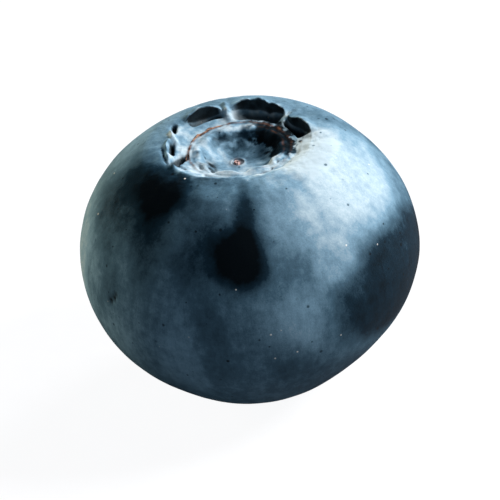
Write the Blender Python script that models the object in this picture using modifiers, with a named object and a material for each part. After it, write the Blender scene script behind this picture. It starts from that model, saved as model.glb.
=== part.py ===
"""A ripe highbush blueberry, as picked: one fruit that stands crown up on its stem end.

The fruit grew as one piece, so it is one object. Its outline is turned about the Z axis from
the style scar in the crown, over the calyx and the flanks, to the stem scar underneath. The
six calyx lobes, the beads of the disc and the soft dents of the flanks are then raised or
pressed in by formula. Metres, +Z up, origin on the surface it rests on, under its middle.
"""

import math
from collections import namedtuple

import bmesh
import bpy

MM = 0.001

# Body: an ellipsoid, with its widest level REST_DROP above the ring that it rests on.
EQUATOR_RADIUS = 9.0 * MM
POLE_RADIUS = 7.85 * MM
REST_DROP = 7.5 * MM
SHOULDER_RADIUS = 5.3 * MM  # the crown's outline ends here
STEM_END_RADIUS = 3.3 * MM  # the stem end's outline starts here
FLANK_RINGS = 14
STEPS = 90  # facets round the axis: 10 to 17 for each calyx lobe

# Calyx: six uneven lobes, in turn round the axis. Each has the azimuth of its middle and half its
# width in degrees, its height as a share of the full wall, and how far its tip leans out (or in,
# where negative).
Lobe = namedtuple("Lobe", "middle half_width height lean")
LOBES = (
    Lobe(13, 27, 1.05, -0.22 * MM),
    Lobe(69.5, 29.5, 1.15, -0.20 * MM),
    Lobe(119.5, 20.5, 1.08, -0.20 * MM),
    Lobe(173, 33, 0.62, -0.12 * MM),
    Lobe(241, 35, 0.46, 0.0),
    Lobe(311, 35, 0.50, 0.0),
)
LOBE_POINT = 2.2  # exponent of a lobe's outline: 1 is a triangle, 2 a parabola
WALL_HEIGHT = 0.56 * MM  # how much lower the wall is between two lobes
POCKET_DEPTH = 0.45 * MM  # the hollow behind each lobe
STAR_REACH = 0.18 * MM  # the wall stands this much further out at a lobe, and in between lobes
STAR_RADII = (2.9 * MM, 3.25 * MM, 4.05 * MM, 4.8 * MM)  # starts, full, full, ends

# Disc: a beaded rim round the dish that holds the style scar.
BEAD_COUNT = 10
BEAD_RELIEF = 0.06 * MM  # up and down
BEAD_BULGE = 0.07 * MM  # out and in

# Flanks: soft flats, and one swelling, each with azimuth, latitude, half width in degrees and
# depth as a share of the radius.
DENTS = (
    (-34, -40, 30, 0.055),
    (-136, -46, 26, 0.015),
    (165, 22, 34, -0.018),
    (95, -30, 34, 0.030),
    (40, 12, 30, 0.022),
)
SKIN_FADE = 2.0 * MM  # the dents fade out over this much radius towards either end

# One ring of the outline: radius, height, and its share of each change made after turning.
Ring = namedtuple("Ring", "radius height lift pocket bead skin", defaults=(0, 0, 0, 0))

# The crown's outline from the style scar out to the shoulder, in millimetres.
CROWN = (
    Ring(0.00, 12.94),
    Ring(0.22, 12.98),
    Ring(0.38, 13.13),
    Ring(0.56, 13.06),
    Ring(1.00, 13.12),
    Ring(1.45, 13.34),
    Ring(1.80, 13.66, bead=0.3),
    Ring(2.02, 13.90, bead=0.8),
    Ring(2.20, 13.96, bead=1.0),
    Ring(2.42, 13.85, bead=0.3),
    Ring(2.60, 13.85),
    Ring(2.75, 13.95),
    Ring(2.88, 13.88),
    Ring(3.04, 13.83, pocket=0.6),
    Ring(3.22, 13.81, pocket=1.0),
    Ring(3.38, 13.87, lift=0.10, pocket=0.9),
    Ring(3.43, 14.07, lift=0.35, pocket=0.4),
    Ring(3.42, 14.32, lift=0.70),
    Ring(3.46, 14.54, lift=0.95),
    Ring(3.62, 14.65, lift=1.0),
    Ring(3.84, 14.62, lift=1.0),
    Ring(3.98, 14.48, lift=0.85),
    Ring(4.05, 14.30, lift=0.50),
    Ring(4.15, 14.18, lift=0.15),
    Ring(4.32, 14.14),
    Ring(4.60, 14.13),
    Ring(4.95, 14.02),
)

# The stem end's outline from the flank in to the torn stub, in millimetres.
STEM_END = (
    Ring(2.95, 0.04),
    Ring(2.60, 0.00),
    Ring(1.75, 0.00),
    Ring(1.48, 0.07),
    Ring(1.28, 0.26),
    Ring(1.16, 0.58),
    Ring(1.02, 0.88),
    Ring(0.80, 0.94),
    Ring(0.62, 0.80),
    Ring(0.52, 0.50),
    Ring(0.34, 0.42),
    Ring(0.00, 0.55),
)


def clear_scene():
    for obj in list(bpy.data.objects):
        bpy.data.objects.remove(obj)


def ramp(value, start, end):
    """0 up to start and 1 from end on, with a smooth step between."""
    share = min(1.0, max(0.0, (value - start) / (end - start)))
    return share * share * (3 - 2 * share)


def to_metres(rings):
    return [ring._replace(radius=ring.radius * MM, height=ring.height * MM) for ring in rings]


def flank_rings():
    """The ellipsoid between the shoulder and the stem end."""
    first = math.asin(SHOULDER_RADIUS / EQUATOR_RADIUS)
    last = math.pi - math.asin(STEM_END_RADIUS / EQUATOR_RADIUS)
    rings = []
    for i in range(FLANK_RINGS):
        angle = first + (last - first) * i / (FLANK_RINGS - 1)
        radius = EQUATOR_RADIUS * math.sin(angle)
        height = REST_DROP + POLE_RADIUS * math.cos(angle)
        end_radius = SHOULDER_RADIUS if angle < math.pi / 2 else STEM_END_RADIUS
        skin = ramp(radius, end_radius, end_radius + SKIN_FADE)
        rings.append(Ring(radius, height, skin=skin))
    return rings


def fruit_outline():
    return to_metres(CROWN) + flank_rings() + to_metres(STEM_END)


def turned(name, outline):
    """The outline turned about Z, as a closed mesh whose points still know their ring."""
    profile = bpy.data.meshes.new(name)
    points = [(ring.radius, 0.0, ring.height) for ring in outline]
    profile.from_pydata(points, [(i, i + 1) for i in range(len(points) - 1)], [])
    numbers = profile.attributes.new("ring", "FLOAT", "POINT")
    numbers.data.foreach_set("value", [float(i) for i in range(len(points))])
    obj = bpy.data.objects.new(name, profile)
    bpy.context.scene.collection.objects.link(obj)
    screw = obj.modifiers.new("turn", "SCREW")
    screw.angle = 2 * math.pi
    screw.steps = screw.render_steps = STEPS
    screw.use_merge_vertices = True
    screw.merge_threshold = 1e-7
    evaluated = obj.evaluated_get(bpy.context.evaluated_depsgraph_get())
    mesh = bpy.data.meshes.new_from_object(evaluated)
    mesh.name = name
    obj.modifiers.clear()
    obj.data = mesh
    bpy.data.meshes.remove(profile)
    return obj


def off_middle(lobe, azimuth):
    """How far this azimuth is from the lobe's middle, as a share of its half width."""
    turn = (math.degrees(azimuth) - lobe.middle + 180) % 360 - 180
    return abs(turn) / lobe.half_width


def lobe_at(azimuth):
    """The lobe at this azimuth, and how far into it the azimuth is, from 0 to 1."""
    lobe = min(LOBES, key=lambda each: off_middle(each, azimuth))
    return lobe, max(0.0, 1 - off_middle(lobe, azimuth) ** LOBE_POINT)


def star_weight(radius):
    starts, full, still_full, ends = STAR_RADII
    return ramp(radius, starts, full) * (1 - ramp(radius, still_full, ends))


def crown_grown(ring, azimuth):
    """Radius and height of this ring once the calyx and the disc have their relief."""
    lobe, share = lobe_at(azimuth)
    bead = ring.bead * math.cos(BEAD_COUNT * azimuth)
    height = ring.height - ring.lift * WALL_HEIGHT * (1 - share * lobe.height)
    height += bead * BEAD_RELIEF - ring.pocket * POCKET_DEPTH * share
    radius = ring.radius + star_weight(ring.radius) * STAR_REACH * (2 * share - 1)
    radius += bead * BEAD_BULGE + lobe.lean * share * ring.lift**2
    return radius, height


def direction(azimuth, latitude):
    azimuth, latitude = math.radians(azimuth), math.radians(latitude)
    flat = math.cos(latitude)
    return flat * math.cos(azimuth), flat * math.sin(azimuth), math.sin(latitude)


def dent_scale(point, skin):
    """How much nearer the body's middle this point lies than the ellipsoid does."""
    length = math.hypot(*point)
    scale = 1.0
    for azimuth, latitude, half_width, depth in DENTS:
        towards = direction(azimuth, latitude)
        cosine = sum(a * b for a, b in zip(point, towards)) / length
        off = math.degrees(math.acos(max(-1.0, min(1.0, cosine)))) / half_width
        scale -= skin * depth * math.exp(-off * off)
    return scale


def shape_fruit(obj, outline):
    numbers = obj.data.attributes["ring"].data
    for vertex, number in zip(obj.data.vertices, numbers):
        ring = outline[round(number.value)]
        if ring.radius == 0:
            continue
        azimuth = math.atan2(vertex.co.y, vertex.co.x)
        radius, height = crown_grown(ring, azimuth)
        point = (radius * math.cos(azimuth), radius * math.sin(azimuth), height - REST_DROP)
        scale = dent_scale(point, ring.skin)
        vertex.co = (point[0] * scale, point[1] * scale, point[2] * scale + REST_DROP)
    obj.data.attributes.remove(obj.data.attributes["ring"])


def centre_on_axis(obj):
    """Moves the mesh so that its box has its middle on the Z axis."""
    xs = [vertex.co.x for vertex in obj.data.vertices]
    ys = [vertex.co.y for vertex in obj.data.vertices]
    shift_x = (min(xs) + max(xs)) / 2
    shift_y = (min(ys) + max(ys)) / 2
    for vertex in obj.data.vertices:
        vertex.co.x -= shift_x
        vertex.co.y -= shift_y


def face_outwards(obj):
    surface = bmesh.new()
    surface.from_mesh(obj.data)
    bmesh.ops.recalc_face_normals(surface, faces=surface.faces)
    surface.to_mesh(obj.data)
    surface.free()


def skin_material():
    material = bpy.data.materials.new("bloomed_skin")
    material.use_nodes = True
    shader = material.node_tree.nodes["Principled BSDF"]
    shader.inputs["Base Color"].default_value = (0.12, 0.18, 0.27, 1.0)
    shader.inputs["Roughness"].default_value = 0.55
    shader.inputs["Metallic"].default_value = 0.0
    return material


def main():
    clear_scene()
    outline = fruit_outline()
    fruit = turned("blueberry", outline)
    shape_fruit(fruit, outline)
    centre_on_axis(fruit)
    face_outwards(fruit)
    fruit.data.shade_smooth()
    fruit.data.materials.append(skin_material())


main()
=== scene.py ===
"""The looks of a ripe blueberry: bloomed skin, calyx crown, dry flower rim and stem scar.

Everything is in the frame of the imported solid: metres, +Z up through the crown, with the
photograph's viewer on the -Y side. Lengths below are in millimetres unless they say otherwise.
"""

import math
import random
from collections import namedtuple

import bpy
import numpy as np
from mathutils import Euler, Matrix, Quaternion, Vector, noise


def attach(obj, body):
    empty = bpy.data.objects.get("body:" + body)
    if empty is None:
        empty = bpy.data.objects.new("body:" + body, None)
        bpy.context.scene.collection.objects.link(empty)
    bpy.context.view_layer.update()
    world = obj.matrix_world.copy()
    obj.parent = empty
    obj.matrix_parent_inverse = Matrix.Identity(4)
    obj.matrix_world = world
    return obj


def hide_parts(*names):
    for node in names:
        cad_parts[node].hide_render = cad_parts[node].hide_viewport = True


MM = 0.001
FRUIT_NODE = "blueberry"

# Fruit body: an ellipsoid, with its widest level REST_DROP above the ring that it rests on.
EQUATOR_RADIUS = 9.0
POLE_RADIUS = 7.85
REST_DROP = 7.5
SHOULDER_RADIUS = 5.3
STEM_END_RADIUS = 3.3
FLANK_RINGS = 17
STEPS = 400  # facets round the axis
RINGS_PER_SPAN = 4  # rings laid between two rings of the outline's table

# Calyx lobes in turn round the axis: middle and half width in degrees, how far the lobe stands
# above the shoulder, how far its tip leans out, how ragged its edge is, how deep the hollow behind
# it is, the radius where the hollow starts, and how much painted shade the hollow's floor gets.
Lobe = namedtuple("Lobe", "middle half_width height lean ragged hollow inner dark")
LOBES = (
    Lobe(22, 16.5, 0.26, -0.10, 0.04, 0.66, 3.12, 1.0),
    Lobe(69, 25.5, 0.40, -0.12, 0.08, 0.60, 3.02, 0.87),
    Lobe(117, 16.5, 0.42, -0.12, 0.04, 0.70, 3.40, 1.0),
    Lobe(172, 22, 0.10, -0.02, 0.04, 0.06, 3.20, 0.0),
    Lobe(232, 38, 0.19, 0.04, 0.04, 0.04, 3.20, 0.0),
    Lobe(312, 34, 0.03, 0.04, 0.02, 0.0, 3.20, 0.0),
)
LOBE_POINT = 2.6
HOLLOW_POINT = 1.3
# How far from the axis the wall's top runs, by azimuth.
WALL_LINE = (
    (0, 3.86),
    (10, 3.92),
    (24, 3.76),
    (36, 3.42),
    (47, 3.86),
    (60, 4.00),
    (78, 4.04),
    (89, 3.90),
    (97, 3.50),
    (104, 3.86),
    (114, 3.98),
    (126, 4.06),
    (138, 3.96),
    (160, 3.78),
    (184, 3.76),
    (212, 3.86),
    (232, 3.66),
    (250, 3.46),
    (266, 3.24),
    (278, 3.24),
    (300, 3.50),
    (330, 3.74),
)
WALL_RADIUS = 3.94  # where the table of rings has it
WALL_SHIFT_RADII = (2.86, 3.62, 4.10, 5.10)
WALL_SMOOTHING = 4  # degrees to each side

# How the hollows and the crown's relief fade, by radius. The hollow's is counted from its start.
POCKET_FADE = (-0.14, 0.16)
CROWN_FADE = (4.6, 5.6)
CENTRE_FADE = (0.3, 0.9)
EDGE_WAVE = 0.03  # in and out, along the lobes' edge

# Disc inside the calyx
BEAD_COUNT = 10
BEAD_RELIEF = 0.05
BEAD_BULGE = 0.075
STYLE_SHIFT = -0.18  # the style scar is off the middle
STYLE_SHIFT_FADE = (0.5, 1.9)

# Relief on the crown: short strokes from one (azimuth, radius) to another, with their half width
# and height. First the folds between the hollows, then the torn and curled left side, then pits.
STROKES = (
    ((97.5, 3.10), (97.5, 4.15), 0.16, 0.17),
    ((38, 2.95), (39, 4.10), 0.17, 0.10),
    ((62, 3.80), (60, 4.25), 0.20, -0.13),
    ((165, 3.80), (174, 3.84), 0.09, 0.13),
    ((153, 3.94), (160, 3.62), 0.11, 0.22),
    ((158, 3.60), (162, 3.40), 0.10, 0.10),
    ((181, 3.84), (187, 3.80), 0.10, 0.12),
    ((194, 3.78), (206, 3.84), 0.12, 0.08),
    ((143, 4.14), (150, 3.92), 0.13, -0.50),
    ((166, 3.62), (180, 3.56), 0.11, -0.55),
    ((197, 3.72), (184, 3.02), 0.19, -0.60),
    ((176, 4.00), (196, 4.04), 0.14, -0.14),
    ((196, 3.60), (206, 3.30), 0.10, -0.12),
    ((221, 2.02), (227, 2.12), 0.23, -0.30),
    ((228, 2.95), (243, 3.05), 0.12, -0.10),
    ((252, 2.90), (256, 2.86), 0.12, -0.10),
    ((208, 2.48), (214, 2.52), 0.12, -0.08),
    ((303, 2.62), (305, 2.60), 0.09, -0.12),
    ((318, 2.40), (320, 2.40), 0.08, -0.12),
    ((288, 2.98), (290, 3.00), 0.09, -0.07),
    ((330, 2.95), (342, 3.05), 0.14, -0.07),
)

# Painted shadows on the crown, a dark notch by the disc's near left rim and a dark streak below the
# near rim: x, y, half width, half depth and amount.
PAINTED_SHADOW_SPOTS = (
    (-1.52, -0.64, 0.34, 0.76, 0.92),
    (-3.22, -2.74, 0.12, 0.34, 0.70),
)

# Flanks: azimuth, latitude and half width in degrees, and depth as a share of the radius.
DENTS = (
    (-34, -40, 30, 0.055),
    (-136, -46, 26, 0.015),
    (165, 22, 34, -0.018),
    (95, -30, 34, 0.030),
    (40, 12, 30, 0.022),
)
SKIN_FADE = 2.0
SHOULDER_BAND = (4.2, 4.6, 4.8, 6.6)  # radii between which the shoulder's creases come and go
SHOULDER_WAVES = 0.5  # the share of the flanks' waves that the shoulder has
FUNNEL_BAND = (1.3, 2.2, 2.9, 4.6)  # the radii again, for the folds that run into the stem scar

# A small cut in the skin of the left flank: azimuth and latitude, the direction that it lies
# square to, its half length, half width and depth, how far it bows, and its raised lip, as a
# share of the depth and in half widths to the side.
NICK_PLACE = (-146, 8)
NICK_ACROSS = (-0.47, 0.94, 0.99)
NICK_SIZE = (0.50, 0.13, 0.11)
NICK_BOW = 0.6
NICK_LIP = 0.3
NICK_LIP_PLACE = 1.5

# Unevenness: how strong it is, the size of its features in mm, how many layers it has, and which
# stretch of the endless noise it takes. Where it runs round the axis, the circle's radius is 1.
Grain = namedtuple("Grain", "strength size layers place", defaults=(1, 0.0))
LOBE_EDGE = Grain(1.0, 0.13, 3)
BEAD_SIZES = Grain(0.9, 0.22, 1, 3.0)
STROKE_WEAR = Grain(0.4, 0.24, 2, 51.0)
CROWN_WAVES = Grain(0.042, 0.62, 2, 31.0)
CROWN_RIPPLES = Grain(0.014, 0.22, 2, 37.0)
SKIN_WAVES = Grain(0.030, 2.6, 2)
SKIN_RIPPLES = Grain(0.006, 0.8, 2, 5.0)
SHOULDER_CREASES = Grain(0.045, 0.16, 2, 9.0)
FUNNEL_FOLDS = Grain(0.12, 0.11, 2, 13.0)
PATCH_WOBBLE = Grain(0.50, 2.8, 3, 17.0)
PAINT_WAVER = Grain(1.0, 0.16, 2, 21.0)
RAGGED_EDGE = Grain(0.6, 0.45, 3, 43.0)
CROWN_CLOUDS = Grain(0.24, 0.6, 3, 41.0)
SHADOW_SPOT_WAVER = Grain(0.5, 0.24, 2, 61.0)

# Where the bloom is thinner, partly rubbed and partly painted shade: azimuth, latitude, half width
# and half height in degrees, how much, and how soft the edge is. Zones on the crown follow the patches
# on the flanks.
PATCH_EDGE = 0.95
Patch = namedtuple("Patch", "azimuth latitude half_width half_height amount soft", defaults=(0.6,))
THIN_BLOOM_AND_SHADE = (
    # Painted shade and dark reflection: the dark spot left of the middle, under the crown
    Patch(-95, 31, 7.6, 9, 0.55, 0.8),
    Patch(-99, 31, 13, 12, 0.20),
    Patch(-91, 46, 4, 11, 0.32),
    Patch(-114, 38, 10, 12, 0.14),
    Patch(-148, 51, 18, 9, 0.38),
    Patch(-158, 41, 12, 14, 0.13),
    Patch(-136, 42, 7, 13, 0.24),
    Patch(-144, 42, 10, 10, 0.10),
    Patch(-158, 14, 12, 14, 0.10),
    # Painted shade dimming the lit shoulder towards the right limb
    Patch(5, 42, 14, 16, 0.15),
    Patch(-102, 58, 14, 5, 0.06),
    Patch(-134, 27, 6, 10, 0.10),
    Patch(-169, 33, 12, 12, 0.14),
    Patch(-80, 24, 9, 8, 0.06),
    Patch(-106, 2, 6, 16, 0.12),
    Patch(-84, -8, 5, 12, 0.08),
    # Painted shadow over the lower right flank, with a sharp upper edge (this and the next)
    Patch(-32, 3, 33, 19, 0.34, 0.26),
    Patch(6, -2, 15, 15, 0.18, 0.6),
    Patch(35, -16, 20, 20, 0.24),
    Patch(104, 16, 22, 18, 0.22),
    Patch(70, -50, 24, 18, 0.24),
    Patch(150, -30, 18, 16, 0.26),
)
# Where it lies thickest, in the same way, partly real and partly painted light.
THICK_BLOOM_AND_LIGHT = (
    # Painted light: the pale lit patch on the upper right shoulder (this and the next)
    Patch(-25, 47, 28, 22, 0.37, 0.34),
    Patch(-24, 60, 26, 8, 0.24),
    Patch(6, 26, 12, 8, 0.06, 0.5),
    Patch(-60, 23, 9, 8, 0.20, 0.4),
    Patch(-70, 45, 9, 18, 0.13, 0.3),
    Patch(98, 66, 6, 6, 0.16),
    Patch(-78, 8, 12, 12, 0.14),
    # Painted light: a pale glow low on the left limb
    Patch(-176, 10, 18, 20, 0.26),
    Patch(-118, -8, 10, 16, 0.10),
    Patch(-146, -8, 10, 10, 0.10),
    Patch(60, 40, 34, 22, 0.10),
    Patch(140, 40, 26, 20, 0.12),
)

# Bloom where no patch or zone changes it.
SKIN_BLOOM = 0.58
CROWN_BLOOM = 0.86
STEM_END_BLOOM = 0.45
STEM_END_UNEVEN = 0.5
CROWN_BLOOM_FADE = (3.74, 4.20)
CROWN_BLOOM_WAVER = 0.4
STEM_END_FADE = (2.0, 5.0)
# Where it differs on the crown, partly painted shade (marked below): the radii between which the
# zone comes and goes, the azimuth that it faces and the cosines that it fades between there, how
# ragged its rims and its two ends are, and how much it adds.
Zone = namedtuple("Zone", "radii azimuth fade ragged_rims ragged_ends amount")
CROWN_ZONES = (
    Zone((0.30, 0.60, 1.90, 2.15), 0, (-2.0, -1.5), 0, 0, -0.13),
    Zone((2.95, 3.15, 3.90, 4.30), -24, (0.80, 0.92), 0, 0, 0.30),
    # Painted shade over the dish's right half and the ring beside it
    Zone((1.45, 1.75, 2.70, 2.98), 18, (0.58, 0.84), 1, 0.3, -0.70),
    # Painted shadow under the disc's far rim
    Zone((1.62, 1.78, 1.94, 2.08), 80, (0.40, 0.80), 0.25, 0, -0.40),
    # Painted shade inside the dish on its far right
    Zone((0.20, 0.50, 1.20, 1.70), 55, (0.00, 0.70), 1, 0, -0.26),
)

# Painted shade on the crown, over tissue that is somewhat darker in itself in the hollows: the
# calyx wall's inner face by its lift and radius, the hollows' floors by radius from their start,
# their ends, pits by depth, and the disc's edge on its shaded side.
INNER_WALL_LIFT = (0.04, 0.3)
INNER_WALL_FADE = (3.86, 3.92)
FLOOR_FADE = (-0.05, 0.30)
HOLLOW_ENDS = (0.0, 0.45)
HOLLOW_ENDS_WAVER = 0.25
LEAST_HOLLOW = 0.2
PIT_DEPTHS = (0.11, 0.21)
PIT_SHADE = 0.9
# The side of the disc in painted shade: its azimuth, and the cosines that it fades between
SHADED_SIDE = (30, 0.5, 0.9)  # azimuth, and the cosines that it fades between
EDGE_SHADE_BAND = (2.15, 2.45, 2.90, 3.10)
EDGE_SHADE = 0.9
CUT_SHADE = 0.95
CUT_SPREAD = 1.6

# Dry tissue: radius, half width and amount of the ring line, the thin line inside it and the
# style scar, then where the ring line shows and the radii of the stem pit's wall.
RING_LINE = (2.70, 0.08, 0.95)
INNER_LINE = (2.30, 0.05, 0.35)
STYLE_SCAR = (0.0, 0.32, 0.9)
# Less ring line on the side in painted shade
RING_LINE_SHADED_SIDE = -0.25
RING_LINE_SIDE = (112, -0.3, 0.4)
RING_LINE_LEAST = 0.2
INNER_LINE_SHOWN = 0.5
PIT_WALL_FADE = (1.2, 1.7)
TINGE_BAND = (1.2, 1.5, 2.0, 3.6)

# Outline rings: radius, height, and the share of each change that is made after turning.
Ring = namedtuple("Ring", "radius height lift pocket bead skin", defaults=(0, 0, 0, 0))
CROWN = (
    Ring(0.00, 12.94),
    Ring(0.14, 12.95),
    Ring(0.26, 12.99),
    Ring(0.36, 13.06),
    Ring(0.54, 13.02),
    Ring(0.95, 13.06),
    Ring(1.38, 13.20),
    Ring(1.72, 13.41, bead=0.1),
    Ring(1.94, 13.64, bead=0.5),
    Ring(2.07, 13.78, bead=0.9),
    Ring(2.20, 13.84, bead=1.0),
    Ring(2.38, 13.82, bead=0.5),
    Ring(2.54, 13.77),
    Ring(2.70, 13.79),
    Ring(2.84, 13.79, pocket=0.5),
    Ring(2.98, 13.82, pocket=1.0),
    Ring(3.14, 13.86, pocket=1.0),
    Ring(3.32, 13.92, pocket=1.0),
    Ring(3.50, 13.97, pocket=1.0),
    Ring(3.64, 14.02, lift=0.02, pocket=0.95),
    Ring(3.73, 14.06, lift=0.14, pocket=0.7),
    Ring(3.79, 14.08, lift=0.42, pocket=0.35),
    Ring(3.84, 14.10, lift=0.74, pocket=0.1),
    Ring(3.89, 14.11, lift=0.94),
    Ring(3.96, 14.12, lift=1.0),
    Ring(4.04, 14.13, lift=0.88),
    Ring(4.13, 14.14, lift=0.62),
    Ring(4.24, 14.14, lift=0.36),
    Ring(4.38, 14.14, lift=0.16),
    Ring(4.62, 14.11, lift=0.03),
    Ring(4.95, 14.02),
)
STEM_END = (
    Ring(2.95, 0.04),
    Ring(2.60, 0.00),
    Ring(2.20, 0.00),
    Ring(1.75, 0.00),
    Ring(1.48, 0.07),
    Ring(1.28, 0.26),
    Ring(1.16, 0.58),
    Ring(1.02, 0.88),
    Ring(0.80, 0.94),
    Ring(0.62, 0.80),
    Ring(0.52, 0.50),
    Ring(0.34, 0.42),
    Ring(0.00, 0.55),
)


def ramp(value, start, end):
    """0 up to start and 1 from end on, with a smooth step between."""
    share = np.clip((np.asarray(value, float) - start) / (end - start), 0, 1)
    return share * share * (3 - 2 * share)


def band(value, starts, full, still_full, ends):
    return ramp(value, starts, full) * (1 - ramp(value, still_full, ends))


def wrapped(degrees):
    """The same turn between -180 and 180 degrees."""
    return (degrees + 180) % 360 - 180


def direction(azimuth, latitude):
    azimuth, latitude = math.radians(azimuth), math.radians(latitude)
    flat = math.cos(latitude)
    return np.array((flat * math.cos(azimuth), flat * math.sin(azimuth), math.sin(latitude)))


def unit_circle(azimuth):
    """The point on a circle of radius 1 at each azimuth."""
    return np.stack((np.cos(azimuth), np.sin(azimuth), 0 * azimuth), 1)


def facing(azimuth, middle, start, end):
    """1 at the middle azimuth, fading from the end to the start cosine of the turn away from it."""
    return ramp(np.cos(azimuth - math.radians(middle)), start, end)


def bell(value):
    return np.exp(-(value**2))


def rough(points, grain):
    """Noise at each point, of about -1 to 1 times the grain's strength."""
    shift = Vector((grain.place, -grain.place, 2 * grain.place))
    places = [Vector(point) / grain.size + shift for point in points]
    if grain.layers == 1:
        return grain.strength * np.array([noise.noise(place) for place in places])
    return grain.strength * np.array([noise.fractal(place, 1.0, 2.0, grain.layers) for place in places])


def deselect_all():
    if bpy.context.mode != "OBJECT":
        bpy.ops.object.mode_set(mode="OBJECT")
    bpy.ops.object.select_all(action="DESELECT")


def flank_rings():
    first = math.asin(SHOULDER_RADIUS / EQUATOR_RADIUS)
    last = math.pi - math.asin(STEM_END_RADIUS / EQUATOR_RADIUS)
    rings = []
    for angle in np.linspace(first, last, FLANK_RINGS):
        radius = EQUATOR_RADIUS * math.sin(angle)
        height = REST_DROP + POLE_RADIUS * math.cos(angle)
        end_radius = SHOULDER_RADIUS if angle < math.pi / 2 else STEM_END_RADIUS
        skin = float(ramp(radius, end_radius, end_radius + SKIN_FADE))
        rings.append(Ring(radius, height, skin=skin))
    return rings


def smooth_rings(rings):
    """The table's rings with RINGS_PER_SPAN - 1 more on a smooth curve between each two."""
    table = np.array(rings, float)
    padded = np.vstack((table[:1], table, table[-1:]))
    fine = []
    for i in range(len(table) - 1):
        before, start, end, after = padded[i : i + 4]
        for t in np.arange(RINGS_PER_SPAN) / RINGS_PER_SPAN:
            fine.append(
                0.5
                * (
                    2 * start
                    + (end - before) * t
                    + (2 * before - 5 * start + 4 * end - after) * t**2
                    + (3 * start - before - 3 * end + after) * t**3
                )
            )
    fine.append(table[-1])
    fine = np.array(fine)
    fine[0, 0] = fine[-1, 0] = 0.0
    fine[:, 0] = np.abs(fine[:, 0])
    return fine


def turned_fruit(rings):
    """The outline as a chain of points beside the axis, turned about it."""
    profile = bpy.data.meshes.new("fruit")
    points = [(ring[0] * MM, 0.0, ring[1] * MM) for ring in rings]
    profile.from_pydata(points, [(i, i + 1) for i in range(len(points) - 1)], [])
    numbers = profile.attributes.new("ring", "FLOAT", "POINT")
    numbers.data.foreach_set("value", np.arange(len(points), dtype=np.float32))
    fruit = bpy.data.objects.new("fruit", profile)
    bpy.context.scene.collection.objects.link(fruit)
    deselect_all()
    fruit.select_set(True)
    bpy.context.view_layer.objects.active = fruit
    turn = fruit.modifiers.new("turn", "SCREW")
    turn.angle = 2 * math.pi
    turn.steps = turn.render_steps = STEPS
    turn.use_merge_vertices = True
    turn.merge_threshold = 1e-7
    bpy.ops.object.modifier_apply(modifier="turn")
    return fruit


def lobes_at(degrees):
    """The lobe at each azimuth as rows of its values, and how far into it, from 0 to 1."""
    table = np.array(LOBES)
    off = np.abs(wrapped(degrees[:, None] - table[:, 0])) / table[:, 1]
    nearest = off.argmin(axis=1)
    share = np.clip(1 - off.min(axis=1) ** LOBE_POINT, 0, 1)
    return table[nearest], share


def wall_shift(degrees):
    """How far out the wall's top runs at each azimuth, against the table of rings."""
    azimuths, radii = np.array(WALL_LINE, float).T
    turns = degrees[:, None] + np.linspace(-WALL_SMOOTHING, WALL_SMOOTHING, 5)
    return np.interp(turns, azimuths, radii, period=360).mean(axis=1) - WALL_RADIUS


def in_plan(place):
    azimuth, radius = place
    turn = math.radians(azimuth)
    return np.array((radius * math.cos(turn), radius * math.sin(turn)))


def strokes(x, y):
    """The height that the strokes add at each point of the crown."""
    total = np.zeros(len(x))
    for first, last, half_width, height in STROKES:
        start, along = in_plan(first), in_plan(last) - in_plan(first)
        share = ((x - start[0]) * along[0] + (y - start[1]) * along[1]) / (along @ along)
        share = np.clip(share, 0, 1)
        off = np.hypot(x - start[0] - share * along[0], y - start[1] - share * along[1])
        total += height * bell(off / half_width)
    return total


def grow_crown(ring, azimuth):
    """Where each point goes once the calyx and the disc have their relief: x, y and height."""
    radius, height, lift, pocket, bead = ring[:, :5].T
    degrees = np.degrees(azimuth)
    above = height > REST_DROP
    lobe, share = lobes_at(degrees)
    tall, lean, ragged, hollow, inner = lobe[:, 2:7].T
    pocket = np.minimum(pocket, ramp(radius - inner, *POCKET_FADE))
    circle = unit_circle(azimuth)
    edge = rough(circle, LOBE_EDGE)
    beads = bead * (np.cos(BEAD_COUNT * azimuth) + rough(circle, BEAD_SIZES))
    crown = (1 - ramp(radius, *CROWN_FADE)) * above

    new_radius = radius - beads * BEAD_BULGE
    new_radius += crown * band(radius, *WALL_SHIFT_RADII) * wall_shift(degrees)
    new_radius += lean * share * lift**2 + EDGE_WAVE * lift * edge
    x, y = new_radius * np.cos(azimuth), new_radius * np.sin(azimuth)
    flat = np.stack((x, y, 0 * x), 1)
    relief = strokes(x, y) * (1 + rough(flat, STROKE_WEAR)) * crown

    new_height = height + lift * tall * share + lift**2 * ragged * edge
    new_height += beads * BEAD_RELIEF - pocket * hollow * share**HOLLOW_POINT
    new_height += relief
    uneven = rough(flat, CROWN_WAVES) + rough(flat, CROWN_RIPPLES)
    new_height += crown * uneven * ramp(radius, *CENTRE_FADE)
    x += STYLE_SHIFT * (1 - ramp(radius, *STYLE_SHIFT_FADE)) * above
    return x, y, new_height, relief


def soften_flanks(points, skin):
    """Presses the dents into the flanks, in place."""
    length = np.linalg.norm(points, axis=1)
    scale = np.ones(len(points))
    for azimuth, latitude, half_width, depth in DENTS:
        cosine = points @ direction(azimuth, latitude) / length
        off = np.degrees(np.arccos(np.clip(cosine, -1, 1))) / half_width
        scale -= skin * depth * bell(off)
    points *= scale[:, None]


def nick_depth(points):
    """How deep the small cut in the left flank is at each point."""
    outward = direction(*NICK_PLACE)
    along = np.cross(outward, NICK_ACROSS)
    along /= np.linalg.norm(along)
    across = np.cross(outward, along)
    unit = points / np.linalg.norm(points, axis=1)[:, None]
    offset = (unit - outward) * EQUATOR_RADIUS
    length, width, depth = NICK_SIZE
    u, v = offset @ along / length, offset @ across / width
    side = v + NICK_BOW * u * u
    ends = np.exp(-(u**4))
    return depth * ends * (bell(side) - NICK_LIP * bell(side - NICK_LIP_PLACE))


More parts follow.
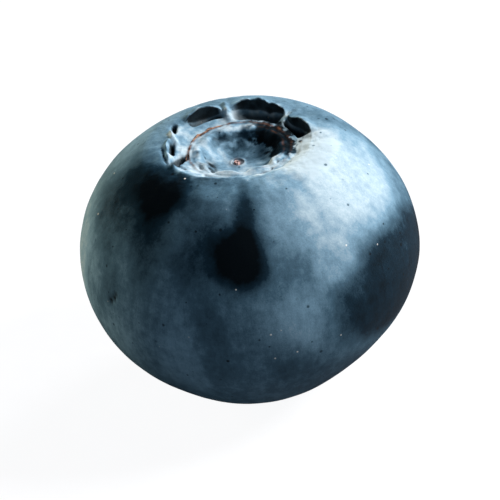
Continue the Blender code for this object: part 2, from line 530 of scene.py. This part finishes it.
def crease_skin(points, ring, azimuth):
    """Fine relief along the outward direction: waves, shoulder creases and the stem funnel."""
    radius, height, skin = ring[:, 0], ring[:, 1], ring[:, 5]
    circle = unit_circle(azimuth)
    shoulder = band(radius, *SHOULDER_BAND) * (height > REST_DROP)
    stem_end = band(radius, *FUNNEL_BAND) * (height < REST_DROP)
    waves = rough(points, SKIN_WAVES) + rough(points, SKIN_RIPPLES)
    depth = waves * np.maximum(skin, SHOULDER_WAVES * shoulder)
    depth += np.minimum(0, rough(circle, SHOULDER_CREASES)) * shoulder
    depth += np.minimum(0, rough(circle, FUNNEL_FOLDS)) * stem_end
    depth -= nick_depth(points) * skin
    outward = points / np.linalg.norm(points, axis=1)[:, None]
    points += outward * depth[:, None]


def on_flank(points, places):
    """The sum of these soft patches at each point."""
    azimuth = np.degrees(np.arctan2(points[:, 1], points[:, 0]))
    latitude = np.degrees(np.arcsin(points[:, 2] / np.linalg.norm(points, axis=1)))
    wobble = rough(points, PATCH_WOBBLE)
    total = np.zeros(len(points))
    for patch in places:
        across = wrapped(azimuth - patch.azimuth) * math.cos(math.radians(patch.latitude))
        along = (latitude - patch.latitude) / patch.half_height
        off = np.hypot(across / patch.half_width, along) + patch.soft * wobble
        total += patch.amount * (1 - ramp(off, PATCH_EDGE - patch.soft, PATCH_EDGE + patch.soft))
    return total


def painted_shadow_spots(points):
    """How much painted shadow the spots put on each point of the crown."""
    total = np.zeros(len(points))
    for x, y, half_width, half_depth, amount in PAINTED_SHADOW_SPOTS:
        off = ((points[:, 0] - x) / half_width) ** 2 + ((points[:, 1] - y) / half_depth) ** 2
        total += amount * np.exp(-(off**1.5))
    return total * (1 + rough(points, SHADOW_SPOT_WAVER))


def store(mesh, name, values):
    attribute = mesh.attributes.new(name, "FLOAT", "POINT")
    attribute.data.foreach_set("value", np.clip(values, 0, 1).astype(np.float32))


def bloom_at(points, radius, above, azimuth, waver, ragged):
    """How much bloom each point has, with painted light and shade worked into it: flanks first, then
    the crown, then the stem end.
    """
    skin = SKIN_BLOOM - on_flank(points, THIN_BLOOM_AND_SHADE) + on_flank(points, THICK_BLOOM_AND_LIGHT)
    crown = CROWN_BLOOM + rough(points, CROWN_CLOUDS)
    for zone in CROWN_ZONES:
        near = band(radius + zone.ragged_rims * (ragged - radius), *zone.radii)
        towards = np.cos(azimuth - math.radians(zone.azimuth))
        near *= ramp(towards + zone.ragged_ends * (ragged - radius), *zone.fade)
        crown += zone.amount * near
    on_crown = (1 - ramp(radius + CROWN_BLOOM_WAVER * waver, *CROWN_BLOOM_FADE)) * above
    bloom = skin * (1 - on_crown) + crown * on_crown
    at_stem = (1 - ramp(radius, *STEM_END_FADE)) * ~above
    return bloom * (1 - at_stem) + (STEM_END_BLOOM + STEM_END_UNEVEN * waver) * at_stem


def painted_shade_at(points, ring, azimuth, relief, waver, ragged):
    """How much painted shade the hollows, pits, spots, disc edge and nick put on each point."""
    radius, height, lift, pocket = ring[:, :4].T
    above = height > REST_DROP
    lobe, share = lobes_at(np.degrees(azimuth))
    hollow, inner, floor_shade = lobe[:, 5:8].T
    # Painted shade on the hollows' floors and the calyx wall's inner face
    floor = np.minimum(pocket, ramp(radius - inner, *FLOOR_FADE)) * floor_shade
    inner_wall = ramp(lift, *INNER_WALL_LIFT) * (1 - ramp(radius, *INNER_WALL_FADE))
    deep = ramp(share + HOLLOW_ENDS_WAVER * waver, *HOLLOW_ENDS) * (hollow > LEAST_HOLLOW) * above
    # Painted shade in the pits by their depth, on the disc's shaded edge and in the cut by its depth
    pits = PIT_SHADE * ramp(-relief, *PIT_DEPTHS)
    edge = EDGE_SHADE * facing(azimuth, *SHADED_SIDE) * band(ragged, *EDGE_SHADE_BAND) * above
    cut = CUT_SPREAD * nick_depth(points) / NICK_SIZE[2]
    cut = CUT_SHADE * np.clip(cut, 0, 1) * ring[:, 5]
    hollows = np.maximum(floor, inner_wall) * deep
    return np.maximum.reduce((hollows, pits, painted_shadow_spots(points) * above, edge, cut))


def dryness_at(radius, above, azimuth, waver):
    """How much dry tissue there is: the flower's ring, the style scar and the stem pit."""
    place, width, amount = RING_LINE
    ring_line = bell((radius - place) / width)
    # The ring line fades on the side in painted shade
    ring_line *= amount + RING_LINE_SHADED_SIDE * facing(azimuth, *SHADED_SIDE) + waver
    ring_line *= RING_LINE_LEAST + (1 - RING_LINE_LEAST) * facing(azimuth, *RING_LINE_SIDE)
    place, width, amount = INNER_LINE
    inner_line = amount * bell((radius - place) / width) * (INNER_LINE_SHOWN + waver)
    place, width, amount = STYLE_SCAR
    style = amount * bell((radius - place) / width)
    pit_wall = (1 - ramp(radius, *PIT_WALL_FADE)) * ~above
    return (ring_line + inner_line + style) * above + pit_wall


def paint_fruit(mesh, points, ring, azimuth, relief):
    """Keeps on each point how much bloom (with painted light and shade in it), painted shade, dry
    tissue and stem tinge it has.
    """
    radius = ring[:, 0]
    above = ring[:, 1] > REST_DROP
    waver = rough(unit_circle(azimuth), PAINT_WAVER)
    ragged = radius + rough(points, RAGGED_EDGE)
    store(mesh, "bloom", bloom_at(points, radius, above, azimuth, waver, ragged))
    store(mesh, "hollow", painted_shade_at(points, ring, azimuth, relief, waver, ragged))
    store(mesh, "dry", dryness_at(radius, above, azimuth, waver))
    store(mesh, "tinge", band(radius, *TINGE_BAND) * ~above)


def build_fruit():
    rings = smooth_rings(list(CROWN) + flank_rings() + list(STEM_END))
    fruit = turned_fruit(rings)
    mesh = fruit.data
    count = len(mesh.vertices)
    flat = np.empty(count * 3)
    mesh.vertices.foreach_get("co", flat)
    places = flat.reshape(-1, 3) / MM
    number = np.empty(count, np.float32)
    mesh.attributes["ring"].data.foreach_get("value", number)
    ring = rings[np.rint(number).astype(int)]
    azimuth = np.arctan2(places[:, 1], places[:, 0])
    x, y, height, relief = grow_crown(ring, azimuth)
    stem_pole = (ring[:, 0] < 1e-6) & (ring[:, 1] < REST_DROP)
    x[stem_pole], y[stem_pole] = 0, 0
    points = np.stack((x, y, height - REST_DROP), 1)
    soften_flanks(points, ring[:, 5])
    paint_fruit(mesh, points, ring, azimuth, relief)
    crease_skin(points, ring, azimuth)
    points[:, 2] = np.maximum(points[:, 2] + REST_DROP, 0)
    points[:, :2] -= (points[:, :2].max(0) + points[:, :2].min(0)) / 2
    mesh.vertices.foreach_set("co", (points * MM).ravel())
    mesh.attributes.remove(mesh.attributes["ring"])
    mesh.shade_smooth()
    mesh.update()
    return fruit


# Dry rim where the flower's tube came off: a band that stands highest on its full side and sinks
# into the disc on the other. The shares are of RIM_STAND, and the rates are per radius.
RIM_RADIUS = 2.72
RIM_HEIGHT = 13.79
RIM_STAND = 0.07
RIM_WALL = 0.04
RIM_STEPS = 300
RIM_LEVELS = 3
RIM_FULL_SIDE = Vector((-0.64, 0.77, 0))
RIM_LEAST_SHARE = 0.1
RIM_FULL_SHARE = 0.5
RIM_TEAR_SHARE = 0.8
RIM_GAP_SHARE = 1.5
RIM_TEAR_RATE = 7
RIM_GAP_RATE = 2.1
RIM_WAVE_RATE = 5
RIM_WAVE = 0.05
RIM_FLARE = 0.05
RIM_FOOT_DEPTH = 0.03
RIM_SUNK_FOOT = 0.13
RIM_SUNK_TOP = 0.11


def build_flower_rim():
    """A ragged papery band that stands on the ring line, with gaps where it wore away."""
    deselect_all()
    bpy.ops.mesh.primitive_circle_add(
        vertices=RIM_STEPS, radius=RIM_RADIUS * MM, location=(0, 0, RIM_HEIGHT * MM)
    )
    rim = bpy.context.object
    rim.name = "flower_rim"
    bpy.ops.object.transform_apply(location=True)
    levels = rim.modifiers.new("levels", "SCREW")
    levels.angle = 0
    levels.screw_offset = RIM_STAND * MM
    levels.steps = levels.render_steps = RIM_LEVELS
    bpy.ops.object.modifier_apply(modifier="levels")
    for vertex in rim.data.vertices:
        x, y, z = vertex.co / MM
        up = (z - RIM_HEIGHT) / RIM_STAND
        out = Vector((x, y, 0)) / RIM_RADIUS
        full = 0.5 + 0.5 * out.dot(RIM_FULL_SIDE)
        tear = noise.fractal(out * RIM_TEAR_RATE, 1.0, 2.0, 3)
        gap = noise.noise(out * RIM_GAP_RATE + Vector((4, 1, 7)))
        wave = noise.noise(out * RIM_WAVE_RATE + Vector((0, 9, 2)))
        shares = RIM_LEAST_SHARE + RIM_FULL_SHARE * full + RIM_TEAR_SHARE * tear + RIM_GAP_SHARE * gap
        stand = RIM_STAND * shares - RIM_SUNK_TOP * (1 - full)
        foot = RIM_HEIGHT - RIM_FOOT_DEPTH - RIM_SUNK_FOOT * (1 - full)
        radius = RIM_RADIUS + RIM_WAVE * wave + RIM_FLARE * up * (1 + tear)
        vertex.co = Vector((out.x * radius, out.y * radius, foot + up * stand)) * MM
    wall = rim.modifiers.new("wall", "SOLIDIFY")
    wall.thickness = RIM_WALL * MM
    wall.offset = 0
    bpy.ops.object.modifier_apply(modifier="wall")
    rim.data.shade_smooth()
    return rim


# Dried foot of the style, in the middle of the dish: a stub with a lip round a small cup
STYLE_RADIUS = 0.15
STYLE_FOOT = 12.90
STYLE_STAND = 0.20
STYLE_LIP = (0.04, 0.02)  # how wide, and how far it rises
STYLE_CUP = (0.05, -0.05)
STYLE_SWELL = 0.22
STYLE_SWELL_RATE = 6
STYLE_FLARE = 0.35
STYLE_BUMPS = 0.04
STYLE_BUMP_RATE = 9


def build_style_stub():
    deselect_all()
    middle = (STYLE_FOOT + STYLE_STAND / 2) * MM
    bpy.ops.mesh.primitive_cylinder_add(
        vertices=20, radius=STYLE_RADIUS * MM, depth=STYLE_STAND * MM, location=(0, 0, middle)
    )
    stub = bpy.context.object
    stub.name = "style_stub"
    bpy.ops.object.transform_apply(location=True)
    bpy.ops.object.mode_set(mode="EDIT")
    bpy.ops.mesh.select_all(action="DESELECT")
    bpy.ops.object.mode_set(mode="OBJECT")
    for face in stub.data.polygons:
        face.select = face.normal.z > 0.9
    bpy.ops.object.mode_set(mode="EDIT")
    for width, rise in (STYLE_LIP, STYLE_CUP):
        bpy.ops.mesh.inset(thickness=width * MM, depth=rise * MM)
    bpy.ops.mesh.select_all(action="SELECT")
    bpy.ops.mesh.subdivide(number_cuts=2)
    bpy.ops.object.mode_set(mode="OBJECT")
    for vertex in stub.data.vertices:
        up = (vertex.co.z / MM - STYLE_FOOT) / STYLE_STAND
        swell = 1 + STYLE_SWELL * noise.noise(vertex.co / MM * STYLE_SWELL_RATE)
        swell += STYLE_FLARE * (1 - up) ** 2
        vertex.co.x *= swell
        vertex.co.y *= swell
        bump = noise.noise(vertex.co / MM * STYLE_BUMP_RATE + Vector((3, 3, 3)))
        vertex.co.z += STYLE_BUMPS * MM * bump
        vertex.co.x += STYLE_SHIFT * MM
    stub.data.shade_smooth()
    return stub


# Torn end of the stem, in the pit underneath
FIBRE_SEED = 11
FIBRE_COUNT = 70
FIBRE_RADIUS = 0.045
FIBRE_LENGTH = (0.16, 0.40)
FIBRE_SPREAD = 0.52
FIBRE_ROOT = 0.62
FIBRE_TIP = 0.3  # the tip's radius as a share of the root's
FIBRE_BEND = 0.16
FIBRE_TURN = 137.5  # degrees from one to the next
FIBRE_TURN_PLAY = 0.2
FIBRE_LEAN = (-0.2, 0.35)
FIBRE_LEAN_OUT = 0.5


def build_one_fibre():
    deselect_all()
    bpy.ops.mesh.primitive_cone_add(
        vertices=6, radius1=FIBRE_RADIUS * MM, radius2=FIBRE_RADIUS * MM * FIBRE_TIP, depth=MM
    )
    fibre = bpy.context.object
    bpy.ops.object.mode_set(mode="EDIT")
    bpy.ops.mesh.select_all(action="DESELECT")
    bpy.ops.object.mode_set(mode="OBJECT")
    for edge in fibre.data.edges:
        low, high = (fibre.data.vertices[i].co.z for i in edge.vertices)
        edge.select = abs(high - low) > 0.5 * MM
    bpy.ops.object.mode_set(mode="EDIT")
    bpy.ops.mesh.subdivide(number_cuts=3)
    bpy.ops.object.mode_set(mode="OBJECT")
    for vertex in fibre.data.vertices:
        up = vertex.co.z / MM + 0.5
        vertex.co.x += FIBRE_BEND * MM * up * up
        vertex.co.z += 0.5 * MM
    fibre.data.shade_smooth()
    return fibre


def build_stem_fibres():
    """One fibre copied over the torn stub, each with its own length and tilt."""
    draw = random.Random(FIBRE_SEED)
    pattern = build_one_fibre()
    copies = []
    for i in range(FIBRE_COUNT):
        reach = FIBRE_SPREAD * math.sqrt((i + 0.5) / FIBRE_COUNT)
        turn = i * math.radians(FIBRE_TURN) + draw.uniform(-FIBRE_TURN_PLAY, FIBRE_TURN_PLAY)
        copy = pattern.copy()
        copy.data = pattern.data.copy()
        bpy.context.scene.collection.objects.link(copy)
        copy.location = Vector((reach * math.cos(turn), reach * math.sin(turn), FIBRE_ROOT)) * MM
        lean = draw.uniform(*FIBRE_LEAN) + FIBRE_LEAN_OUT * reach
        copy.rotation_euler = Euler((math.pi + lean * math.sin(turn), -lean * math.cos(turn), turn))
        copy.scale = (1.0, 1.0, draw.uniform(*FIBRE_LENGTH))
        copies.append(copy)
    bpy.data.objects.remove(pattern)
    deselect_all()
    for copy in copies:
        copy.select_set(True)
    bpy.context.view_layer.objects.active = copies[0]
    bpy.ops.object.join()
    fibres = bpy.context.object
    bpy.ops.object.transform_apply(location=True, rotation=True, scale=True)
    fibres.name = "stem_fibres"
    return fibres


def plug(tree, value, socket):
    """Links another node's output to the socket, or sets the socket to a plain value."""
    if isinstance(value, bpy.types.NodeSocket):
        tree.links.new(value, socket)
    else:
        socket.default_value = value


def add_node(tree, kind, **settings):
    """A node with its plain settings, and its inputs by name or number."""
    made = tree.nodes.new(kind)
    for name, value in settings.pop("inputs", {}).items():
        plug(tree, value, made.inputs[name])
    for name, value in settings.items():
        setattr(made, name, value)
    return made


def math_node(tree, operation, first, second, clamp=False):
    made = add_node(tree, "ShaderNodeMath", operation=operation, use_clamp=clamp)
    plug(tree, first, made.inputs[0])
    plug(tree, second, made.inputs[1])
    return made.outputs[0]


def scaled(tree, value, share):
    return math_node(tree, "MULTIPLY", value, share)


def map_range(tree, value, low, high, to_low=0.0, to_high=1.0):
    made = add_node(tree, "ShaderNodeMapRange", interpolation_type="SMOOTHSTEP")
    limits = {"From Min": low, "From Max": high, "To Min": to_low, "To Max": to_high}
    plug(tree, value, made.inputs["Value"])
    for name, number in limits.items():
        made.inputs[name].default_value = number
    return made.outputs["Result"]


def noise_node(tree, vector, scale, detail, roughness=0.5, distortion=0.0):
    settings = {"Scale": scale, "Detail": detail, "Roughness": roughness, "Distortion": distortion}
    made = add_node(tree, "ShaderNodeTexNoise", inputs={"Vector": vector, **settings})
    return made.outputs["Fac"]


def mix_colours(tree, factor, first, second):
    made = add_node(tree, "ShaderNodeMix", data_type="RGBA")
    for number, value in ((0, factor), (6, first), (7, second)):
        plug(tree, value, made.inputs[number])
    return made.outputs[2]


def colour_steps(tree, value, stops):
    made = add_node(tree, "ShaderNodeValToRGB")
    plug(tree, value, made.inputs["Fac"])
    ramp_stops = made.color_ramp.elements
    while len(ramp_stops) < len(stops):
        ramp_stops.new(1.0)
    for stop, (place, colour) in zip(ramp_stops, stops):
        stop.position = place
        stop.color = (*colour, 1.0)
    return made.outputs["Color"]


def new_group(name, inputs, outputs):
    group = bpy.data.node_groups.new(name, "ShaderNodeTree")
    for side, sockets in (("INPUT", inputs), ("OUTPUT", outputs)):
        for socket_name, kind in sockets:
            group.interface.new_socket(socket_name, in_out=side, socket_type="NodeSocket" + kind)
    return group, group.nodes.new("NodeGroupInput"), group.nodes.new("NodeGroupOutput")


# Skin colour by how thick the bloom on it is
BLOOM_COLOURS = (
    (0.08, (0.0012, 0.0024, 0.0036)),
    (0.30, (0.0060, 0.0180, 0.0310)),
    (0.55, (0.050, 0.100, 0.145)),
    (0.76, (0.138, 0.235, 0.318)),
    (1.00, (0.370, 0.452, 0.512)),
)
BLOOM_ROUGHNESS = (0.05, 0.85, 0.36, 0.62)  # thickness from and to, roughness from and to
# What makes it uneven: features per mm, detail, roughness, distortion, and how much
Layer = namedtuple("Layer", "scale detail roughness distortion amount")
CLOUDS = Layer(0.42, 4, 0.60, 0.5, 0.26)
MOTTLES = Layer(1.9, 5, 0.68, 0.2, 0.29)
RUB_MARKS = Layer(1.6, 4, 0.65, 0.0, 0.22)
POWDER = Layer(11.0, 3, 0.70, 0.0, 0.16)
RUB_STRETCH = (1.5, 1.5, 0.34)
RUB_TURN = (0.25, 0.3, 0)
POWDER_RELIEF = 0.4
# Pores: how many per mm, the smallest as a share, where a pore's rim starts and ends, which are
# kept, and how much they take from the bloom and darken it
PORE_SCALE = 2.3
PORE_LEAST = 0.4
PORE_RIM = (0.08, 0.20)
PORES_KEPT = (0.66, 0.98)
PORE_DEPTH = 0.22
PORE_SHADE = 0.5
PORE_DARK = (0.006, 0.008, 0.010, 1.0)
# Pale specks, in the same way
SPECK_SCALE = 1.15
SPECK_RIM = (0.035, 0.085)
SPECKS_KEPT = (0.62, 0.70)
SPECK_SHARE = 0.85
SPECK_RELIEF = 0.8
PALE_SPECK = (0.62, 0.60, 0.58, 1.0)


def cells(tree, vector, scale):
    """Distance to the nearest cell's middle, and the two draws that each cell makes."""
    made = add_node(tree, "ShaderNodeTexVoronoi", inputs={"Vector": vector, "Scale": scale})
    draws = add_node(tree, "ShaderNodeSeparateColor", inputs={"Color": made.outputs["Color"]})
    return made.outputs["Distance"], draws.outputs[0], draws.outputs[1]


def wax_bloom_group():
    """Powdery bloom over dark skin: clouds, mottling, rub marks, dark pores and pale specks."""
    group, given, out = new_group(
        "wax_bloom",
        [("Vector", "Vector"), ("Coverage", "Float")],
        [("Color", "Color"), ("Roughness", "Float"), ("Height", "Float")],
    )
    vector = given.outputs["Vector"]
    stretch = {"Vector": vector, "Scale": RUB_STRETCH, "Rotation": RUB_TURN}
    stretched = add_node(group, "ShaderNodeMapping", inputs=stretch).outputs[0]
    thickness = given.outputs["Coverage"]
    for layer, place in ((CLOUDS, vector), (MOTTLES, vector), (RUB_MARKS, stretched), (POWDER, vector)):
        grain = noise_node(group, place, *layer[:4])
        change = scaled(group, math_node(group, "SUBTRACT", grain, 0.5), layer.amount)
        thickness = math_node(group, "ADD", thickness, change)
    # The last grain is the powder's, and it stands out of the skin as well
    powder = scaled(group, grain, POWDER_RELIEF)

    distance, kept, size = cells(group, vector, PORE_SCALE)
    size = math_node(group, "ADD", size, PORE_LEAST)
    dot = map_range(group, math_node(group, "DIVIDE", distance, size), *PORE_RIM, 1.0, 0.0)
    pore = math_node(group, "MULTIPLY", dot, map_range(group, kept, *PORES_KEPT))
    lost = scaled(group, pore, PORE_DEPTH)
    thickness = math_node(group, "SUBTRACT", thickness, lost, clamp=True)

    distance, _, kept = cells(group, vector, SPECK_SCALE)
    dot = map_range(group, distance, *SPECK_RIM, SPECK_SHARE, 0.0)
    speck = math_node(group, "MULTIPLY", dot, map_range(group, kept, *SPECKS_KEPT))

    colour = colour_steps(group, thickness, BLOOM_COLOURS)
    colour = mix_colours(group, scaled(group, pore, PORE_SHADE), colour, PORE_DARK)
    colour = mix_colours(group, speck, colour, PALE_SPECK)
    relief = math_node(group, "ADD", thickness, powder)
    relief = math_node(group, "ADD", relief, scaled(group, speck, SPECK_RELIEF))
    plug(group, colour, out.inputs["Color"])
    plug(group, map_range(group, thickness, *BLOOM_ROUGHNESS), out.inputs["Roughness"])
    plug(group, relief, out.inputs["Height"])
    return group


# Dry tissue: how the coarse and the fine noise are detailed and read, and the roughness
COARSE_DETAIL = 3.0
FINE_DETAIL = 5.0
FIBRE_CONTRAST = (0.36, 0.64)
TISSUE_ROUGHNESS = (0.3, 0.7, 0.6, 0.85)  # coarse noise from and to, roughness from and to


def dry_tissue_group():
    """Dead plant tissue: fibres that change between a dark and a light colour."""
    group, given, out = new_group(
        "dry_tissue",
        [("Vector", "Vector"), ("Dark", "Color"), ("Light", "Color"), ("Scale", "Float")],
        [("Color", "Color"), ("Roughness", "Float"), ("Height", "Float")],
    )
    vector, scale = given.outputs["Vector"], given.outputs["Scale"]
    coarse = noise_node(group, vector, scale, COARSE_DETAIL)
    fibre = map_range(group, noise_node(group, vector, scale, FINE_DETAIL), *FIBRE_CONTRAST)
    colour = mix_colours(group, fibre, given.outputs["Dark"], given.outputs["Light"])
    plug(group, colour, out.inputs["Color"])
    plug(group, map_range(group, coarse, *TISSUE_ROUGHNESS), out.inputs["Roughness"])
    plug(group, fibre, out.inputs["Height"])
    return group


def new_material(name):
    material = bpy.data.materials.new(name)
    material.use_nodes = True
    tree = material.node_tree
    return material, tree, tree.nodes["Principled BSDF"]


def millimetres(tree):
    """Object coordinates in millimetres."""
    place = add_node(tree, "ShaderNodeTexCoord").outputs["Object"]
    inputs = {"Vector": place, "Scale": (1 / MM, 1 / MM, 1 / MM)}
    return add_node(tree, "ShaderNodeMapping", inputs=inputs).outputs[0]


def use_group(tree, group, **inputs):
    made = tree.nodes.new("ShaderNodeGroup")
    made.node_tree = group
    for name, value in inputs.items():
        plug(tree, value, made.inputs[name])
    return made


def add_bump(tree, shader, height, depth):
    """Relief of this many millimetres."""
    bump = add_node(tree, "ShaderNodeBump", inputs={"Height": height, "Distance": depth * MM})
    plug(tree, bump.outputs[0], shader.inputs["Normal"])


def kept_value(tree, name):
    return add_node(tree, "ShaderNodeAttribute", attribute_name=name).outputs["Fac"]


# Dead tissue: its dark and its light colour, features per mm, and relief in mm
Tissue = namedtuple("Tissue", "dark light scale relief", defaults=(0.0,))
# Near-black painted shade for the hollows, pits, spots, the disc's shaded edge and the cut
HOLLOW_SHADE_TISSUE = Tissue((0.002, 0.003, 0.004, 1.0), (0.008, 0.013, 0.017, 1.0), 3.0)
RING_TISSUE = Tissue((0.010, 0.006, 0.005, 1.0), (0.15, 0.065, 0.038, 1.0), 4.0)
RIM_TISSUE = Tissue((0.02, 0.010, 0.008, 1.0), (0.36, 0.18, 0.11, 1.0), 2.6, 0.02)
STYLE_TISSUE = Tissue((0.10, 0.05, 0.05, 1.0), (0.55, 0.36, 0.34, 1.0), 9.0, 0.02)
STEM_TISSUE = Tissue((0.16, 0.06, 0.02, 1.0), (0.62, 0.38, 0.14, 1.0), 6.0, 0.02)
STEM_TINGE = (0.050, 0.012, 0.022, 1.0)
STEM_TINGE_SHARE = 0.55
SKIN_RELIEF = 0.018
SKIN_SPECULAR = 0.20
SKIN_SPECULAR_TINT = (0.62, 0.84, 1.0, 1.0)


def use_tissue(tree, dry_group, vector, tissue):
    return use_group(
        tree, dry_group, Vector=vector, Dark=tissue.dark, Light=tissue.light, Scale=tissue.scale
    )


def skin_material(bloom_group, dry_group):
    material, tree, shader = new_material("bloomed_skin")
    vector = millimetres(tree)
    bloom = use_group(tree, bloom_group, Vector=vector, Coverage=kept_value(tree, "bloom"))
    hollow = use_tissue(tree, dry_group, vector, HOLLOW_SHADE_TISSUE)
    dry = use_tissue(tree, dry_group, vector, RING_TISSUE)
    tinge = scaled(tree, kept_value(tree, "tinge"), STEM_TINGE_SHARE)
    colour = mix_colours(tree, tinge, bloom.outputs["Color"], STEM_TINGE)
    # Painted shade, near-black, where the hollow attribute says
    colour = mix_colours(tree, kept_value(tree, "hollow"), colour, hollow.outputs["Color"])
    colour = mix_colours(tree, kept_value(tree, "dry"), colour, dry.outputs["Color"])
    plug(tree, colour, shader.inputs["Base Color"])
    plug(tree, bloom.outputs["Roughness"], shader.inputs["Roughness"])
    shader.inputs["Specular IOR Level"].default_value = SKIN_SPECULAR
    shader.inputs["Specular Tint"].default_value = SKIN_SPECULAR_TINT
    add_bump(tree, shader, bloom.outputs["Height"], SKIN_RELIEF)
    return material


def tissue_material(name, dry_group, tissue):
    material, tree, shader = new_material(name)
    made = use_tissue(tree, dry_group, millimetres(tree), tissue)
    plug(tree, made.outputs["Color"], shader.inputs["Base Color"])
    plug(tree, made.outputs["Roughness"], shader.inputs["Roughness"])
    add_bump(tree, shader, made.outputs["Height"], tissue.relief)
    return material


def wear(piece, material):
    piece.data.materials.clear()
    piece.data.materials.append(material)
    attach(piece, "root")


# Camera: where the photograph was taken from, in metres and degrees, with its lens and sensor in
# millimetres
CAMERA_DISTANCE = 0.15
CAMERA_ELEVATION = 34
CAMERA_LEAN = 6.5
CAMERA_LENS = 203
CAMERA_SENSOR = 36
CAMERA_NEAREST = 0.005
AIM = Vector((0, 0, 0.0075))


def place_camera():
    camera = bpy.data.objects.new("camera", bpy.data.cameras.new("camera"))
    bpy.context.scene.collection.objects.link(camera)
    elevation = math.radians(CAMERA_ELEVATION)
    back = Vector((0, -math.cos(elevation), math.sin(elevation)))
    camera.location = AIM + back * CAMERA_DISTANCE
    lean = Quaternion((0, 0, 1), -math.radians(CAMERA_LEAN))
    camera.rotation_mode = "QUATERNION"
    camera.rotation_quaternion = (-back).to_track_quat("-Z", "Y") @ lean
    camera.data.lens = CAMERA_LENS
    camera.data.sensor_width = CAMERA_SENSOR
    camera.data.clip_start = CAMERA_NEAREST
    bpy.context.scene.camera = camera


# Lights: the way to each one from AIM, its distance and width in metres, watts, colour, and
# whether the skin mirrors it
Light = namedtuple("Light", "name towards distance width watts colour mirrored")
LIGHTS = (
    Light("window", (0.80, 0.02, 0.60), 0.50, 0.14, 4.2, (1.0, 1.0, 0.98), True),
    Light("back", (0.55, 0.66, 0.52), 0.50, 0.16, 3.0, (1.0, 1.0, 0.98), False),
    Light("front", (-0.15, -0.97, 0.20), 0.60, 0.24, 0.90, (0.80, 0.92, 1.0), False),
    Light("left", (-0.77, 0.62, 0.08), 0.50, 0.24, 5.2, (1.0, 0.86, 0.60), False),
)
WORLD_LIGHT = (0.028, 0.038, 0.046, 1.0)
WORLD_SEEN = (0.97, 0.97, 0.97, 1.0)


def add_soft_light(light):
    lamp = bpy.data.lights.new(light.name, "AREA")
    lamp.shape = "DISK"
    lamp.size = light.width
    lamp.energy = light.watts
    lamp.color = light.colour
    placed = bpy.data.objects.new(light.name, lamp)
    bpy.context.scene.collection.objects.link(placed)
    away = Vector(light.towards).normalized()
    placed.location = AIM + away * light.distance
    placed.rotation_mode = "QUATERNION"
    placed.rotation_quaternion = away.to_track_quat("Z", "Y")
    placed.visible_glossy = light.mirrored


def seen_by_camera(tree):
    return add_node(tree, "ShaderNodeLightPath").outputs["Is Camera Ray"]


def light_studio():
    for light in LIGHTS:
        add_soft_light(light)
    world = bpy.data.worlds.new("studio")
    world.use_nodes = True
    tree = world.node_tree
    shade = mix_colours(tree, seen_by_camera(tree), WORLD_LIGHT, WORLD_SEEN)
    plug(tree, shade, tree.nodes["Background"].inputs["Color"])
    bpy.context.scene.world = world


# Floor: dim to the berry, so that the dark skin mirrors little of it, and white to the camera
FLOOR_RADIUS = 2.0
FLOOR_GRAIN = (0.6, 4)  # scale and detail
FLOOR_SHADE = (0.3, 0.7, 0.055, 0.065)  # noise from and to, shade from and to
FLOOR_BLUE = 1.12
FLOOR_ROUGHNESS = 0.8
FLOOR_GLOW = (0.935, 0.94, 0.95, 1.0)


def lay_floor():
    deselect_all()
    bpy.ops.mesh.primitive_circle_add(vertices=64, radius=FLOOR_RADIUS, fill_type="NGON")
    floor = bpy.context.object
    floor.name = "floor"
    material, tree, shader = new_material("white_paper")
    shade = map_range(tree, noise_node(tree, millimetres(tree), *FLOOR_GRAIN), *FLOOR_SHADE)
    inputs = {0: shade, 1: shade, 2: scaled(tree, shade, FLOOR_BLUE)}
    grey = add_node(tree, "ShaderNodeCombineColor", inputs=inputs)
    plug(tree, grey.outputs[0], shader.inputs["Base Color"])
    plug(tree, seen_by_camera(tree), shader.inputs["Emission Strength"])
    shader.inputs["Roughness"].default_value = FLOOR_ROUGHNESS
    shader.inputs["Emission Color"].default_value = FLOOR_GLOW
    floor.data.materials.append(material)


def set_exposure():
    view = bpy.context.scene.view_settings
    view.view_transform = "Standard"
    view.look = "None"
    view.exposure = 0.0


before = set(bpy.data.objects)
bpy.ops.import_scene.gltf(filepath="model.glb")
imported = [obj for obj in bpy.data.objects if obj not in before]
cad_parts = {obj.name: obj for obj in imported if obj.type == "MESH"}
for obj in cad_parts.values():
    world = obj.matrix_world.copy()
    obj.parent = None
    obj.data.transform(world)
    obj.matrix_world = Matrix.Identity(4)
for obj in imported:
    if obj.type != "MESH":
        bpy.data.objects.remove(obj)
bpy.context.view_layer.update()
place_camera()
light_studio()
lay_floor()
set_exposure()

wax_bloom = wax_bloom_group()
dry_tissue = dry_tissue_group()
fruit = build_fruit()
wear(fruit, skin_material(wax_bloom, dry_tissue))
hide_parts(FRUIT_NODE)
rim = build_flower_rim()
wear(rim, tissue_material("dry_flower_rim", dry_tissue, RIM_TISSUE))
style = build_style_stub()
wear(style, tissue_material("dry_style", dry_tissue, STYLE_TISSUE))
fibres = build_stem_fibres()
wear(fibres, tissue_material("torn_stem", dry_tissue, STEM_TISSUE))
